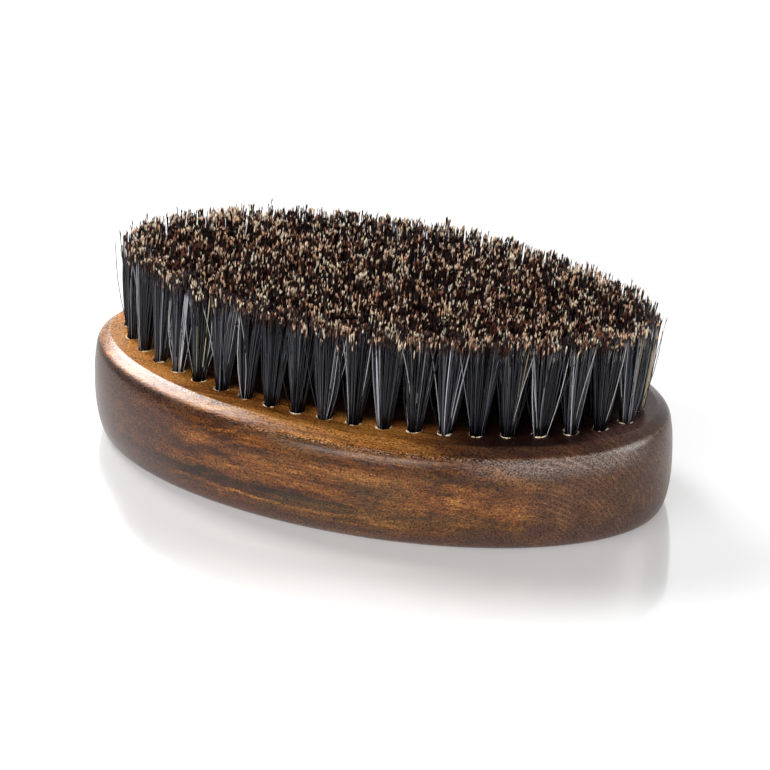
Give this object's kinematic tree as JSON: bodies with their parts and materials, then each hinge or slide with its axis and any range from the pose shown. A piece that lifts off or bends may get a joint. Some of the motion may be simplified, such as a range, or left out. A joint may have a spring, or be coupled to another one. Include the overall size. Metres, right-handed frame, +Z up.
{
  "type": "beard brush",
  "caption": "Oval palm-held beard brush: a rounded dark walnut block filled with dense tufts of boar bristle, each folded over an anchor in a blind hole.",
  "frame": {"origin": "centre of the block's flat underside", "axes": "+X along the block's long axis, +Y across the block, +Z up from the underside to the bristle tips"},
  "size_m": [0.11, 0.0632, 0.0366],
  "materials": {
    "walnut": "dark walnut stain under a satin lacquer",
    "boar_bristle": "black boar bristle with a soft sheen and pale split tips",
    "anchor_wire": "drawn flat wire, bright at the cut ends"
  },
  "bodies": {
    "root": {"handle_block": "walnut", "outer_tuft_01": "boar_bristle", "outer_tuft_02": "boar_bristle", "outer_tuft_03": "boar_bristle", "outer_tuft_04": "boar_bristle", "outer_tuft_05": "boar_bristle", "outer_tuft_06": "boar_bristle", "outer_tuft_07": "boar_bristle", "outer_tuft_08": "boar_bristle", "outer_tuft_09": "boar_bristle", "outer_tuft_10": "boar_bristle", "outer_tuft_11": "boar_bristle", "outer_tuft_12": "boar_bristle", "outer_tuft_13": "boar_bristle", "outer_tuft_14": "boar_bristle", "outer_tuft_15": "boar_bristle", "outer_tuft_16": "boar_bristle", "outer_tuft_17": "boar_bristle", "outer_tuft_18": "boar_bristle", "outer_tuft_19": "boar_bristle", "outer_tuft_20": "boar_bristle", "outer_tuft_21": "boar_bristle", "outer_tuft_22": "boar_bristle", "outer_tuft_23": "boar_bristle", "outer_tuft_24": "boar_bristle", "outer_tuft_25": "boar_bristle", "outer_tuft_26": "boar_bristle", "outer_tuft_27": "boar_bristle", "outer_tuft_28": "boar_bristle", "outer_tuft_29": "boar_bristle", "outer_tuft_30": "boar_bristle", "outer_tuft_31": "boar_bristle", "outer_tuft_32": "boar_bristle", "outer_tuft_33": "boar_bristle", "outer_tuft_34": "boar_bristle", "outer_tuft_35": "boar_bristle", "outer_tuft_36": "boar_bristle", "outer_tuft_37": "boar_bristle", "outer_tuft_38": "boar_bristle", "outer_tuft_39": "boar_bristle", "outer_tuft_40": "boar_bristle", "outer_tuft_41": "boar_bristle", "outer_tuft_42": "boar_bristle", "second_ring_tufts": "boar_bristle", "third_ring_tufts": "boar_bristle", "fourth_ring_tufts": "boar_bristle", "centre_row_tufts": "boar_bristle", "anchor_01": "anchor_wire", "anchor_02": "anchor_wire", "anchor_03": "anchor_wire", "anchor_04": "anchor_wire", "anchor_05": "anchor_wire", "anchor_06": "anchor_wire", "anchor_07": "anchor_wire", "anchor_08": "anchor_wire", "anchor_09": "anchor_wire", "anchor_10": "anchor_wire"}
  },
  "joints": []
}
